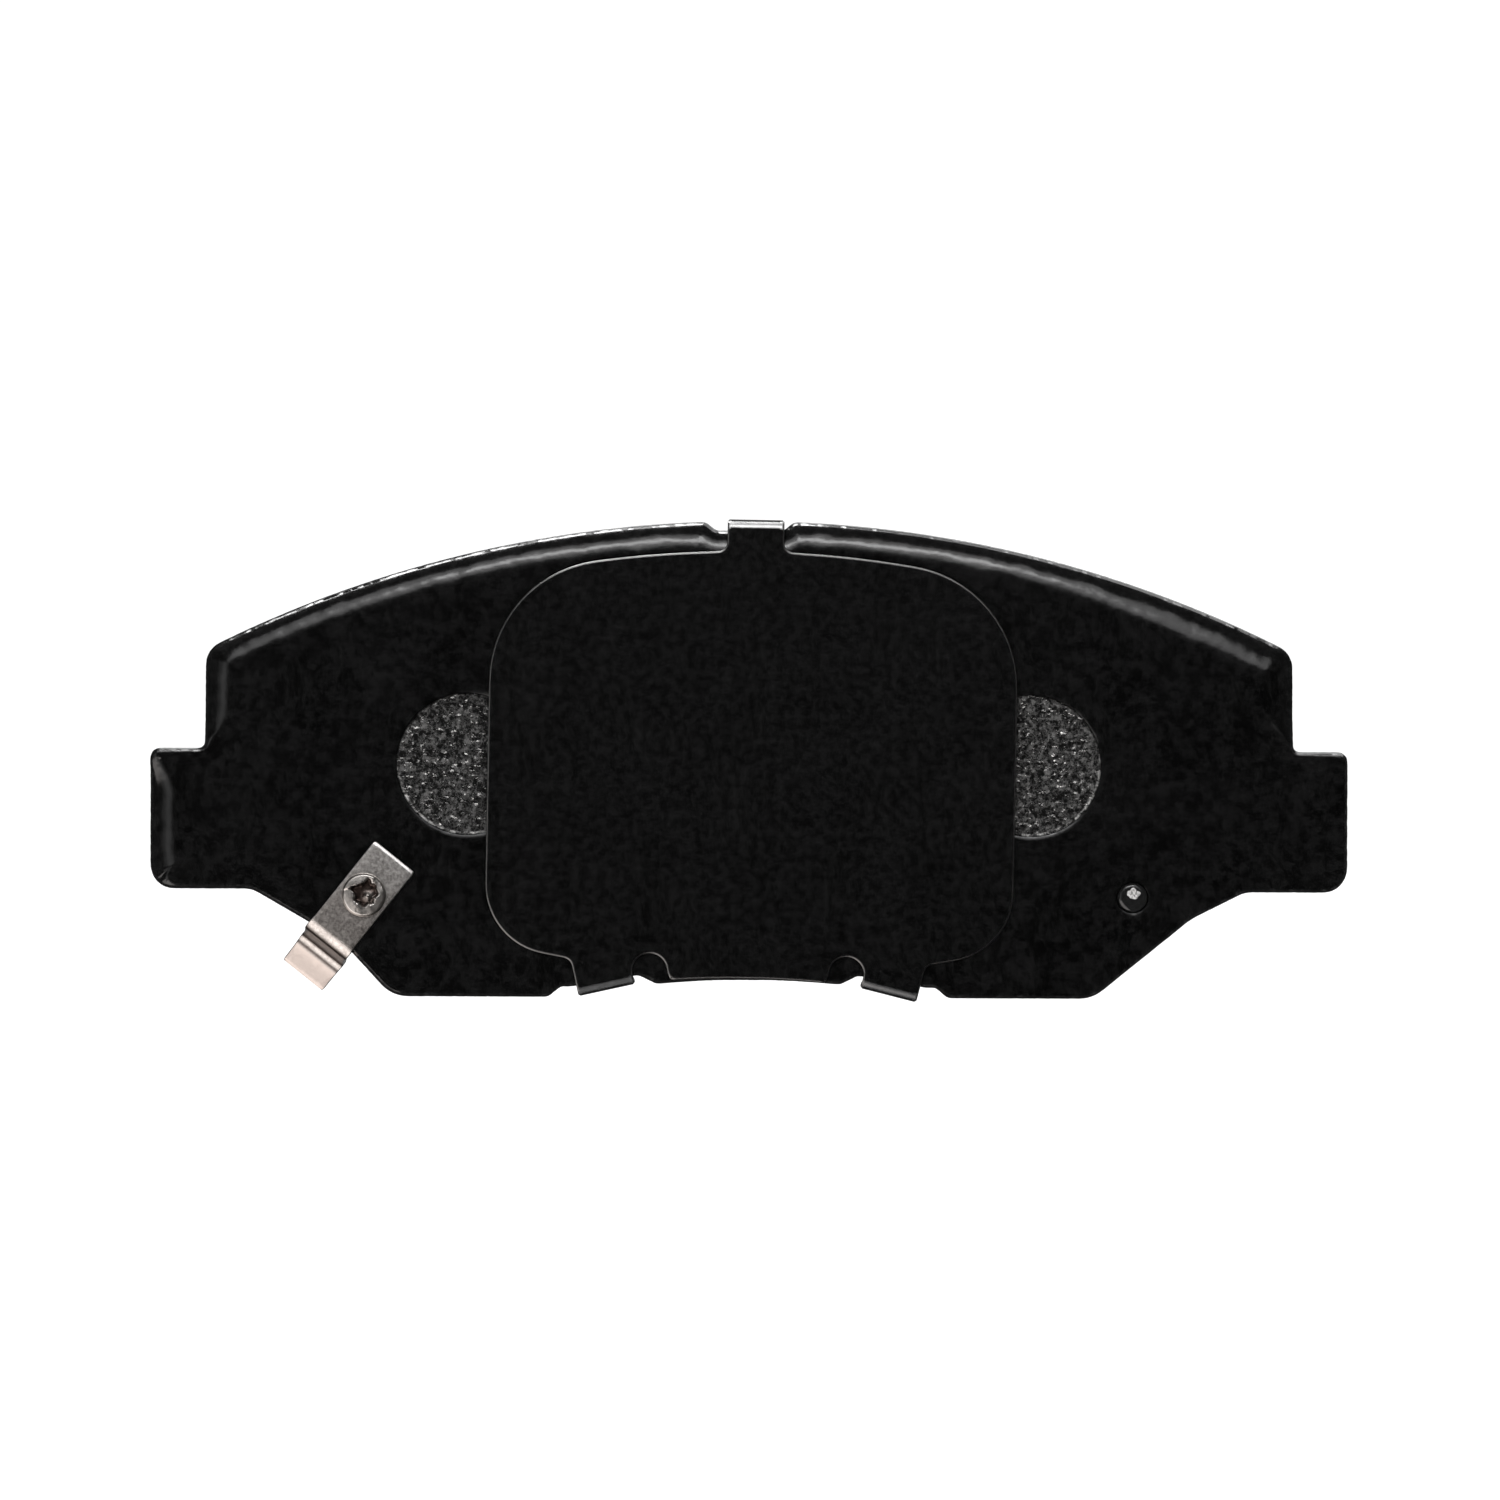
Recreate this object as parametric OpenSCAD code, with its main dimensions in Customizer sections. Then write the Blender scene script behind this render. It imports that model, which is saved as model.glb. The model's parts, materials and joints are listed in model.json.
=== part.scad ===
// Disc brake pad: stamped backing plate, moulded friction block, clip-on
// laminated shim and a riveted wear indicator.
// X runs along the pad and Z away from the wheel axle. Y runs from the piston
// towards the brake disc. The origin lies on the shim's piston face, midway
// between the two big holes of the backing plate.

/* [Backing plate] */
// Length over both ears
pad_len = 150; // [140:1:190]
// Height of the crown above the origin
crown_z = 30.6; // [28:0.1:40]
// Depth of the two lower lobes below the origin
lobe_drop = 29.15; // [27:0.05:36]
// Thickness of the backing plate
plate_t = 6; // [4:0.1:8]
// Radius of the crown
crown_r = 150.2; // [120:0.1:220]
// Radius of the shoulder corners
shoulder_r = 3; // [1:0.1:5]
// How far each ear stands out past the shoulder
ear_len = 6.85; // [5:0.05:9]
// Height of the ears' upper faces
ear_top_z = 1.9; // [0:0.1:4]
// Depth of the ears' lower faces
ear_drop = 15.75; // [13:0.05:18]
// Radius of the ears' upper corners
ear_top_r = 1.2; // [0.5:0.1:2]
// Radius of the ears' lower corners
ear_low_r = 3; // [1:0.1:4]
// Distance between the centres of the two big holes
hole_pitch = 70.4; // [66:0.1:76]
// Diameter of the big holes that lock the moulded lining
hole_d = 17.7; // [12:0.1:21]

/* [Rivet] */
// Diameter of the rivet's shank
rivet_d = 3.9; // [3:0.1:4.6]
// Diameter of the clinched end
clinch_d = 5.5; // [5:0.1:6]
// Height of the clinched end
clinch_h = 1; // [0.6:0.1:1.5]
// Diameter of the factory head
head_d = 7; // [5.5:0.1:7.5]
// Height of the factory head
head_h = 1.2; // [0.8:0.1:1.8]
// Diameter of the hollow in the shank
hollow_d = 2.2; // [1:0.1:2.6]
// Depth of the hollow in the shank
hollow_h = 3.4; // [2:0.1:4.5]

/* [Lining] */
// Thickness of the adhesive film
film_t = 0.15; // [0.1:0.01:0.3]
// Thickness of the underlayer
under_t = 2; // [1:0.1:3]
// Thickness of the friction block
block_t = 9; // [4:0.1:12]
// Margin between the plate's edge and the lining
lining_margin = 4; // [2.5:0.1:6]
// Length of each end's chamfer
chamfer_len = 9; // [4:0.5:14]
// Depth of each end's chamfer
chamfer_h = 3.5; // [1:0.1:3.8]
// Width of the dust slot
slot_w = 3; // [2:0.1:5]
// How far the moulded plugs stay below the plate's back face
plug_recess = 0.5; // [0.1:0.1:1.5]

/* [Shim] */
// Thickness of the steel core
core_t = 0.5; // [0.3:0.05:0.8]
// Thickness of each rubber skin
skin_t = 0.12; // [0.05:0.01:0.2]
// Width of the shim
shim_w = 66.06; // [60:0.1:67]
// Margin between the plate's crown and the shim
shim_margin = 3.9; // [3:0.1:6]
// Width of the upper tab
top_tab_w = 7.1; // [5:0.1:7.6]
// Width of the lower tabs
low_tab_w = 7.2; // [5:0.1:7.6]
// Tilt of the lower tabs
low_tab_tilt = 13.3; // [8:0.1:16]
// How far the tabs reach over the plate's edge
tab_reach = 4.5; // [2:0.1:5.5]
// Inner radius of the tabs' bends
tab_bend_r = 0.4; // [0.2:0.05:0.6]
// Gap between the tabs and the plate's edge
tab_gap = 0.55; // [0.3:0.05:1]
// Turn of the loosely clipped shim on the plate
shim_turn = 0.84; // [-1:0.02:1]
// Sideways shift of the loosely clipped shim
shim_shift = 0.35; // [-0.35:0.01:0.35]

/* [Wear indicator] */
// Thickness of the spring steel strip
strip_t = 0.8; // [0.5:0.05:1]
// Width of the strip
strip_w = 6.35; // [5.5:0.05:7]
// Angle of the strip below the horizontal
strip_angle = 51.6; // [48:0.1:55]
// Length of the foot behind the rivet
strip_tail = 6.1; // [4:0.1:8]
// Inner radius of the root bend
root_bend_r = 1; // [0.6:0.1:1.4]
// Angle that the root bend turns through
root_bend = 81; // [74:1:86]
// Length of the tip's last stretch
tip_len = 2.4; // [1:0.1:4]
// Lining thickness at which the tip meets the disc
wear_limit = 2.5; // [1.5:0.1:4]

/* [Hidden] */
$fn = 96;
over = 1;

half_len = pad_len / 2;
shoulder_x = half_len - ear_len;

// Layers, from the piston to the disc
shim_t = core_t + 2 * skin_t;
plate_back = shim_t;
plate_front = plate_back + plate_t;
under_y = plate_front + film_t;
block_y = under_y + under_t;
disc_y = block_y + block_t;

// The plate's crown and shoulders, drawn about these centres
crown_centre = [0, crown_z - crown_r];
shoulder_rise = sqrt(pow(crown_r - shoulder_r, 2) - pow(shoulder_x - shoulder_r, 2));
shoulder_centre = [shoulder_x - shoulder_r, crown_centre[1] + shoulder_rise];

// The plate's lower outline. Its two flanks differ: the left one makes room for the wear indicator.
ear_root_x = half_len - 12.8;
right_knee = [half_len - 19.5, -ear_drop - 3.35];
left_knee = [half_len - 24, -ear_drop - 6.45];
right_lobe_x = half_len - 31.9;
left_lobe_x = half_len - 30.4;
ear_root_r = 3;
flank_r = 8;
root_r = 0.6;
lobe_r = 4.5;
lobe_in_r = 0.5;

// The seats for the shim's lower tabs, cut into the plate's lower edge
seat_mid_x = 17.6;
seat_wall = [23.5, 1.3 - lobe_drop];
seat_out = [22.2, 1.3 - lobe_drop];
seat_in = [13.75, 2.77 - lobe_drop];
seat_drop = lobe_drop - 2.12;
lobe_in_x = 25;
belly_drop = lobe_drop - 2.22;
belly_r = 118;
belly_x = 11.5;

// The seat for the shim's upper tab
notch_floor_z = crown_z - 1.2;
notch_floor_x = top_tab_w / 2 + 0.65;
notch_mouth_x = notch_floor_x + 1.38;

rivet_x = half_len - 26.95;
rivet_z = -ear_drop - 0.65;
rivet_relief_r = head_d / 2 + 1.1;
rivet_play = 0.05;
mould_gap = 0.02;

// Lining outline
lining_x = half_len - 15;
lining_crown_r = crown_r - lining_margin;
lining_flank_out = [lining_x - 2.4, -ear_drop + 0.95];
lining_flank_in = [half_len - 33.2, -lobe_drop + 1.55];
lining_belly_r = 200;
lining_belly_drop = belly_drop - 1.7;

// Shim outline, in the shim's own frame
shim_half_w = shim_w / 2;
shim_top_r = 131.4;
shim_top_z = crown_z - shim_margin;
shim_corner_r = 15.3;
shim_arc_centre = [0, shim_top_z - shim_top_r];
shim_corner_x = shim_half_w - shim_corner_r;
shim_corner_rise = sqrt(pow(shim_top_r - shim_corner_r, 2) - pow(shim_corner_x, 2));
shim_corner_centre = [shim_corner_x, shim_arc_centre[1] + shim_corner_rise];
shim_low_r = 8.8;
shim_low_centre = [shim_half_w - shim_low_r, 13.79 - lobe_drop];
shim_low_slope = 9;
neck_r = 1.15;
bend_out_r = tab_bend_r + shim_t;
top_tab_z = notch_floor_z + tab_gap + shim_t;

// The lower tabs of the shim: their slack below the seats, the directions out of a tab and along its edge,
// and the two ends of that edge
tab_slack = 0.18;
low_tab_z = -seat_drop - tab_slack - tab_gap - shim_t;
low_tab_out = [-sin(low_tab_tilt), -cos(low_tab_tilt)];
low_tab_along = [cos(low_tab_tilt), -sin(low_tab_tilt)];
low_tab_far = [seat_mid_x, low_tab_z] + low_tab_along * low_tab_w / 2;
low_tab_near = [seat_mid_x, low_tab_z] - low_tab_along * low_tab_w / 2;
low_corner_rise = 4.8;

// The arched relief beside each lower tab
arch_r = 2.2;
arch_z = 0.98 - belly_drop;
arch_x = low_tab_near[0] + (arch_z - low_tab_near[1]) * tan(low_tab_tilt) - arch_r;
arch_flare = 0.4;
shim_belly_drop = belly_drop - 0.28;

// Each tab: the middle of its outer face, the direction it is bent from, and its width
shim_tabs = [[0, top_tab_z, -90, top_tab_w],
             [seat_mid_x, low_tab_z, 90 + low_tab_tilt, low_tab_w],
             [-seat_mid_x, low_tab_z, 90 - low_tab_tilt, low_tab_w]];

// Wear indicator, along the strip from the rivet
edge_u = 6.2;
tip_bend_r = 0.9;
tip_slope = 5;
crease_r = 1;
crease_bend = 10;
crease_run = 0.8;
strip_depth = plate_t + wear_limit;
wall_rise = strip_depth - root_bend_r * (1 - cos(root_bend))
    - (tip_bend_r + strip_t) * (cos(tip_slope) - cos(root_bend)) - crease_run * sin(tip_slope);
reed_steps = [[root_bend, root_bend_r, wall_rise / sin(root_bend)],
              [tip_slope - root_bend, tip_bend_r, crease_run],
              [-crease_bend, crease_r, tip_len]];
bevel = 1.3;

function unit(v) = v / norm(v);
function mirror_x(p) = [-p[0], p[1]];
function reversed(list) = [for (i = [len(list) - 1 : -1 : 0]) list[i]];
function direction(angle) = [cos(angle), sin(angle)];
function heading(v) = atan2(v[1], v[0]);
function short_way(angle) = angle > 180 ? angle - 360 : angle < -180 ? angle + 360 : angle;

// Points along an arc, both ends included
function arc(centre, r, from, to, steps) =
    [for (k = [0 : steps]) centre + r * direction(from + (to - from) * k / steps)];

// The same without its last point, for an arc that another stretch carries on
function open_arc(centre, r, from, to, steps) =
    [for (k = [0 : steps - 1]) centre + r * direction(from + (to - from) * k / steps)];

// A corner b, met from a and left towards c, rounded with radius r
function corner(a, b, c, r) =
    let (p = unit(a - b), q = unit(c - b), half = acos(p * q) / 2,
         centre = b + unit(p + q) * r / sin(half),
         from = heading(b + p * r / tan(half) - centre),
         turn = short_way(heading(b + q * r / tan(half) - centre) - from))
    r == 0 ? [b] : arc(centre, r, from, from + turn, 6);

// A run of corners, each [point, radius]; the first and last only give directions
function corners(list) =
    [for (i = [1 : len(list) - 2]) each corner(list[i - 1][0], list[i][0], list[i + 1][0], list[i][1])];

// Closes a half outline with its mirror image, or with another half
function closed(right, left) = concat(right, reversed([for (p = left) mirror_x(p)]));

// Extrudes an X-Z outline from one Y to another
module layer(from_y, to_y) {
    translate([0, to_y, 0]) rotate([90, 0, 0]) linear_extrude(to_y - from_y) children();
}

module both_sides() {
    children();
    mirror([1, 0]) children();
}

// The height of the plate's hollow belly, or of the shim's, at a distance from the middle
function belly_z(x, drop) = -drop - belly_r + sqrt(pow(belly_r, 2) - pow(x, 2));

// Half the plate's outline, from the crown's notch round to the belly
function plate_half(knee, lobe_x) =
    let (belly_end = [belly_x, belly_z(belly_x, belly_drop)],
         shoulder_angle = heading(shoulder_centre - crown_centre))
    concat(
        [[notch_floor_x, notch_floor_z]],
        open_arc(crown_centre, crown_r, acos(notch_mouth_x / crown_r), shoulder_angle, 24),
        arc(shoulder_centre, shoulder_r, shoulder_angle, 0, 6),
        corners([
            [[shoulder_x, shoulder_centre[1]], 0], [[shoulder_x, ear_top_z], root_r],
            [[half_len, ear_top_z], ear_top_r], [[half_len, -ear_drop], ear_low_r],
            [[ear_root_x, -ear_drop], ear_root_r], [knee, flank_r], [[lobe_x, -lobe_drop], lobe_r],
            [[lobe_in_x, -lobe_drop], lobe_in_r], [seat_wall, 0], [seat_out, 0], [seat_in, 0],
            [belly_end, lobe_in_r], [[0, belly_end[1]], 0]]),
        [for (k = [3 : -1 : 1]) [belly_x * k / 4, belly_z(belly_x * k / 4, belly_drop)]]);

module plate_outline() {
    polygon(closed(plate_half(right_knee, right_lobe_x), plate_half(left_knee, left_lobe_x)));
}

module backing_plate() {
    color("#1a1a1c") difference() {
        layer(plate_back, plate_front) plate_outline();
        for (side = [-1, 1]) {
            through_hole([side * hole_pitch / 2, 0], hole_d);
            through_hole([side * rivet_x, rivet_z], rivet_d);
        }
        on_strip() indicator_bevel();
    }
}

module through_hole(centre, d) {
    layer(plate_back - over, plate_front + over) translate(centre) circle(d = d);
}

// The plate's edge is bevelled where the wear indicator turns over it
module indicator_bevel() {
    linear_extrude(strip_w + 2, center = true)
        polygon([[edge_u - 0.2, 0], [edge_u - 0.2 + bevel, bevel], [edge_u + 4, bevel],
                 [edge_u + 4, -over], [edge_u - 0.2 - over, -over]]);
}

// Outline of the adhesive film and of the lining, clear of the rivet's head
module lining_outline() {
    side = [[0, crown_z], [lining_x, crown_z], [lining_x - 0.6, 0], lining_flank_out, lining_flank_in,
            [lining_flank_in[0] - 2, -lobe_drop], [0, -lobe_drop]];
    difference() {
        intersection() {
            translate(crown_centre) circle(lining_crown_r, $fn = 360);
            polygon(closed(side, side));
        }
        translate([0, -lining_belly_drop - lining_belly_r]) circle(lining_belly_r, $fn = 360);
        translate([-rivet_x, rivet_z]) rotate(180 + strip_angle) rivet_relief();
    }
}

// A round-ended cut that opens towards the plate's edge
module rivet_relief() {
    reach = 20;
    polygon(concat(arc([0, 0], rivet_relief_r, 90, 270, 16),
                   [[reach, -rivet_relief_r], [reach, rivet_relief_r]]));
}

// The moulded plugs: two big ones, and one in the rivet hole that this pad leaves unused
module plug_circles(gap) {
    both_sides() translate([hole_pitch / 2, 0]) circle(d = hole_d - 2 * gap);
    translate([rivet_x, rivet_z]) circle(d = rivet_d - 2 * gap);
}

module adhesive_film() {
    color("#8a5a2b") layer(plate_front, under_y) difference() {
        lining_outline();
        plug_circles(-mould_gap);
    }
}

module underlayer() {
    color("#4a4642") {
        layer(under_y, block_y) lining_outline();
        layer(plate_back + plug_recess, under_y + mould_gap) plug_circles(mould_gap);
    }
}

module friction_block() {
    color("#55524e") difference() {
        layer(block_y, disc_y) lining_outline();
        layer(block_y - over, disc_y + over) square([slot_w, 4 * crown_z], center = true);
        for (side = [0, 1]) mirror([side, 0, 0]) end_chamfer();
    }
}

module end_chamfer() {
    past = 3;
    translate([lining_x - chamfer_len, 0, -lobe_drop]) linear_extrude(crown_z + lobe_drop)
        polygon([[0, disc_y], [chamfer_len + past, disc_y - chamfer_h * (chamfer_len + past) / chamfer_len],
                 [chamfer_len + past, disc_y + over], [0, disc_y + over]]);
}

// Half the shim's flat face, from the upper tab's bend round to the belly
function shim_half() =
    let (neck = [top_tab_w / 2, shim_top_z],
         crown_start = shim_arc_centre + shim_top_r * direction(acos((neck[0] + 3) / shim_top_r)),
         crown_angle = heading(shim_corner_centre - shim_arc_centre),
         low_end = shim_low_centre + shim_low_r * direction(shim_low_slope - 90),
         low_corner = low_tab_far - low_tab_out * low_corner_rise,
         belly_end_x = arch_x - arch_r - arch_flare)
    concat(
        [[neck[0], top_tab_z - bend_out_r]],
        corner([neck[0], top_tab_z], neck, crown_start, neck_r),
        open_arc(shim_arc_centre, shim_top_r, heading(crown_start - shim_arc_centre), crown_angle, 10),
        arc(shim_corner_centre, shim_corner_r, crown_angle, 0, 14),
        arc(shim_low_centre, shim_low_r, 0, shim_low_slope - 90, 12),
        corner(low_end, low_corner, low_tab_far, neck_r),
        [low_tab_far - low_tab_out * bend_out_r, low_tab_near - low_tab_out * bend_out_r],
        arc([arch_x, arch_z], arch_r, 0, 180, 12),
        [for (k = [4 : -1 : 1]) [belly_end_x * k / 4, belly_z(belly_end_x * k / 4, shim_belly_drop)]]);

// One layer of the shim, from one Y to another, wrapped round the bends of the tabs
module shim_layer(from_y, to_y) {
    translate([shim_shift, 0, 0]) rotate([0, shim_turn, 0]) {
        layer(from_y, to_y) polygon(closed(shim_half(), shim_half()));
        for (tab = shim_tabs)
            translate([tab[0], 0, tab[1]]) rotate([0, tab[2], 0]) translate([-bend_out_r, 0, 0])
                linear_extrude(tab[3], center = true)
                    tab_profile(tab_bend_r + shim_t - to_y, tab_bend_r + shim_t - from_y);
    }
}

// The bend and the flange of a tab, between two radii about the bend's centre
module tab_profile(in_r, out_r) {
    centre = [0, shim_t + tab_bend_r];
    flange = tab_reach - tab_bend_r;
    polygon(concat(arc(centre, out_r, -90, 0, 8), [centre + [out_r, flange], centre + [in_r, flange]],
                   arc(centre, in_r, 0, -90, 8)));
}

module shim_outer_rubber() {
    color("#1b1b1d") shim_layer(0, skin_t);
}

module shim_core() {
    color("#9a9a98") shim_layer(skin_t, skin_t + core_t);
}

module shim_inner_rubber() {
    color("#1b1b1d") shim_layer(skin_t + core_t, shim_t);
}

// Puts a shape drawn along the strip on the plate: X away from the rivet, Y towards the disc
module on_strip() {
    translate([-rivet_x, plate_back, rivet_z]) rotate([0, 180 - strip_angle, 0]) children();
}

// One side of a bent strip, a given distance left of its middle. Each step is a bend and the run after it:
// [turn, inner radius, length].
function strip_side(offset, steps, point, angle, i = 0) =
    i == len(steps) ? [point + offset * direction(angle + 90)] :
    let (turn = steps[i][0], left = sign(turn), r = steps[i][1] + strip_t / 2,
         centre = point + left * r * direction(angle + 90),
         bend_end = centre - left * r * direction(angle + turn + 90),
         next = bend_end + steps[i][2] * direction(angle + turn))
    concat([for (k = [0 : 9]) centre - left * (r - left * offset) * direction(angle + turn * k / 9 + 90)],
           strip_side(offset, steps, next, angle + turn, i + 1));

module wear_indicator_foot() {
    color("#a79f97") difference() {
        on_strip() linear_extrude(strip_w, center = true)
            translate([-strip_tail, -strip_t]) square([strip_tail + edge_u, strip_t]);
        rivet_axis(-strip_t - over) cylinder(h = strip_t + 2 * over, d = rivet_d);
    }
}

module wear_indicator_reed() {
    start = [edge_u, -strip_t / 2];
    color("#c4b8ad") on_strip() linear_extrude(strip_w, center = true)
        polygon(concat(strip_side(strip_t / 2, reed_steps, start, 0),
                       reversed(strip_side(-strip_t / 2, reed_steps, start, 0))));
}

// Stands a shape on the rivet's axis, a given distance in front of the plate's back face
module rivet_axis(from_y) {
    translate([-rivet_x, plate_back + from_y, rivet_z]) rotate([-90, 0, 0]) children();
}

module rivet() {
    color("#b8b2ab") difference() {
        union() {
            rivet_axis(-strip_t - clinch_h) cylinder(h = clinch_h, d1 = clinch_d - 1, d2 = clinch_d);
            rivet_axis(-strip_t) cylinder(h = strip_t + plate_t, d = rivet_d - 2 * rivet_play);
            rivet_axis(plate_t) cylinder(h = head_h, d1 = head_d, d2 = head_d - 1.4);
        }
        rivet_axis(-strip_t - clinch_h - over) cylinder(h = hollow_h + over, d = hollow_d);
    }
}

backing_plate();
adhesive_film();
underlayer();
friction_block();
shim_core();
shim_outer_rubber();
shim_inner_rubber();
wear_indicator_foot();
wear_indicator_reed();
rivet();
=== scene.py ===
"""Looks of the disc brake pad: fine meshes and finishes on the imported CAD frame. Lengths are in millimetres
until a mesh is made, and in metres from there on, as in the frame."""

import json
import math

import bmesh
import bpy
import numpy as np
from mathutils import Matrix, Vector, geometry, noise

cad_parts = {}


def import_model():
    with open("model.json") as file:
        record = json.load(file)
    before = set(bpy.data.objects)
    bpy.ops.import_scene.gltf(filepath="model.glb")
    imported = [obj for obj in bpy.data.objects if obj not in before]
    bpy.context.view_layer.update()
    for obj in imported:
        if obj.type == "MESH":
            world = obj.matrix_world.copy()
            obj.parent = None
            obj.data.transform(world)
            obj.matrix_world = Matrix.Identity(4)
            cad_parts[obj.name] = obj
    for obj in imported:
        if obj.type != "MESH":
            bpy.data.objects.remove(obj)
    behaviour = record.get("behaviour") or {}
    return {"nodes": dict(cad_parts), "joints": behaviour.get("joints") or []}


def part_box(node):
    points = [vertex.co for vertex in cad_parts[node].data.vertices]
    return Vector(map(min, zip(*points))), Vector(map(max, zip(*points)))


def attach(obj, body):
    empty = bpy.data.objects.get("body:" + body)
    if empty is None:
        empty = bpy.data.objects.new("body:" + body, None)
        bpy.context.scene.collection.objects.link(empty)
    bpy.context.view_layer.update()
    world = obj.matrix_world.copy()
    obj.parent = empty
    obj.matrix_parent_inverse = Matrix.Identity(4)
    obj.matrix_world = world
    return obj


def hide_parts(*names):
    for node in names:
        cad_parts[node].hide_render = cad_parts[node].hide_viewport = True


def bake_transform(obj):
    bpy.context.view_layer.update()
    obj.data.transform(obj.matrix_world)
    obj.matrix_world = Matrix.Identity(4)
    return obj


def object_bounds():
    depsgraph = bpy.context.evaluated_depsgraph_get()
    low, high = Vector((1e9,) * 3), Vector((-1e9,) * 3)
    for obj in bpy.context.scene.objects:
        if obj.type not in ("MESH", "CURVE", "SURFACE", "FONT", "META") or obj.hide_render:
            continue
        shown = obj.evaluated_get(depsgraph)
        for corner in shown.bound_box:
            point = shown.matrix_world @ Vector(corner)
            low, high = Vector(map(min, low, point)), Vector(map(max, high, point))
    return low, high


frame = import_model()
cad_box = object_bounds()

MM = 0.001
X_AXIS, Y_AXIS = Vector((1, 0, 0)), Vector((0, 1, 0))


# ---------------------------------------------------------------- reading shapes off the CAD frame


def box_mm(node):
    low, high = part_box(node)
    return low / MM, high / MM


def merged_triangles(node):
    """A node's points in millimetres, with equal points merged, and its triangles."""
    mesh = frame["nodes"][node].data
    mesh.calc_loop_triangles()
    points = np.array([v.co for v in mesh.vertices]) / MM
    _, first, same = np.unique(points.round(3), axis=0, return_index=True, return_inverse=True)
    corners = same.reshape(-1)[np.array([t.vertices for t in mesh.loop_triangles])]
    return points[first], corners


def flat_loops(node, axis, level):
    """The outlines of a node's flat faces that lie at a level along an axis, longest first."""
    points, corners = merged_triangles(node)
    on_face = np.abs(points @ np.array(axis) - level) < 0.003
    whole = [tri for tri in corners[on_face[corners].all(axis=1)] if len(set(tri)) == 3]
    edges = {(a, b) for tri in whole for a, b in zip(tri, np.roll(tri, -1))}
    follow = {a: b for a, b in edges if (b, a) not in edges}
    loops = []
    while follow:
        start, here = follow.popitem()
        loop = [start]
        while here != start:
            loop.append(here)
            here = follow.pop(here)
        loops.append(points[loop])
    return sorted(loops, key=loop_length, reverse=True)


def loop_length(loop):
    return np.linalg.norm(loop - np.roll(loop, -1, 0), axis=1).sum()


def outline(loop, step, turn, ease=2):
    """A loop seen along Y as even (x, z) steps with eased corners. turn is 1 for an outside, -1 for a hole."""
    flat = loop[:, [0, 2]] if loop.shape[1] == 3 else loop
    nxt = np.roll(flat, -1, 0)
    if np.sum(flat[:, 0] * nxt[:, 1] - nxt[:, 0] * flat[:, 1]) * turn < 0:
        flat = flat[::-1]
    closed = np.vstack([flat, flat[:1]])
    run = np.concatenate([[0], np.cumsum(np.linalg.norm(np.diff(closed, axis=0), axis=1))])
    count = max(12, round(run[-1] / step))
    at = np.arange(count) * run[-1] / count
    even = np.column_stack([np.interp(at, run, closed[:, k]) for k in (0, 1)])
    for _ in range(ease):
        even = even / 2 + (np.roll(even, 1, 0) + np.roll(even, -1, 0)) / 4
    return even


def out_of(loop):
    """Unit directions out of the material, at each point of an outline."""
    along = np.roll(loop, -1, 0) - np.roll(loop, 1, 0)
    along /= np.linalg.norm(along, axis=1)[:, None]
    return np.column_stack([along[:, 1], -along[:, 0]])


def nearest(points, loops):
    """Each point's distance to the outlines, and the number of the outline point that it is nearest to."""
    start = np.vstack(loops)
    run = np.vstack([np.roll(l, -1, 0) - l for l in loops])
    far, which = [], []
    for part in np.array_split(points, max(1, len(points) // 1500)):
        to = part[:, None] - start[None]
        share = np.clip((to * run).sum(2) / (run * run).sum(1), 0, 1)
        gap = np.linalg.norm(to - share[..., None] * run, axis=2)
        which.append(gap.argmin(1))
        far.append(gap.min(1))
    return np.concatenate(far), np.concatenate(which)


def inside(points, loops):
    """Whether each point is inside the outlines, holes counted out."""
    crossed = np.zeros(len(points), int)
    for loop in loops:
        for a, b in zip(loop, np.roll(loop, -1, 0)):
            rises = (a[1] > points[:, 1]) != (b[1] > points[:, 1])
            if rises.any():
                x = a[0] + (points[:, 1] - a[1]) / (b[1] - a[1]) * (b[0] - a[0])
                crossed += rises & (points[:, 0] < x)
    return crossed % 2 == 1


# ---------------------------------------------------------------- making meshes


def net(edges, inner):
    """Triangles over the area inside some outlines, through the inner points: (points, triangles)."""
    count, sides = 0, []
    for loop in edges:
        sides += [(count + k, count + (k + 1) % len(loop)) for k in range(len(loop))]
        count += len(loop)
    points = np.vstack([*edges, inner]) if len(inner) else np.vstack(edges)
    made = geometry.delaunay_2d_cdt([Vector(p) for p in points], sides, [], 0, 1e-6, True)
    source = [ids[0] for ids in made[3]]
    tris = np.array([[source[k] for k in face] for face in made[2]])
    return points, tris[inside(points[tris].mean(1), edges)]


def rough(points, scale, seed, octaves=3):
    """Smooth noise from -1 to 1 at each 3-D point, with a feature size of about scale."""
    shift = Vector((seed * 17.3, seed * 5.1, -seed * 11.7))
    return np.array([noise.fractal(Vector(p) / scale + shift, 0.6, 2.0, octaves) for p in points])


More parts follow.
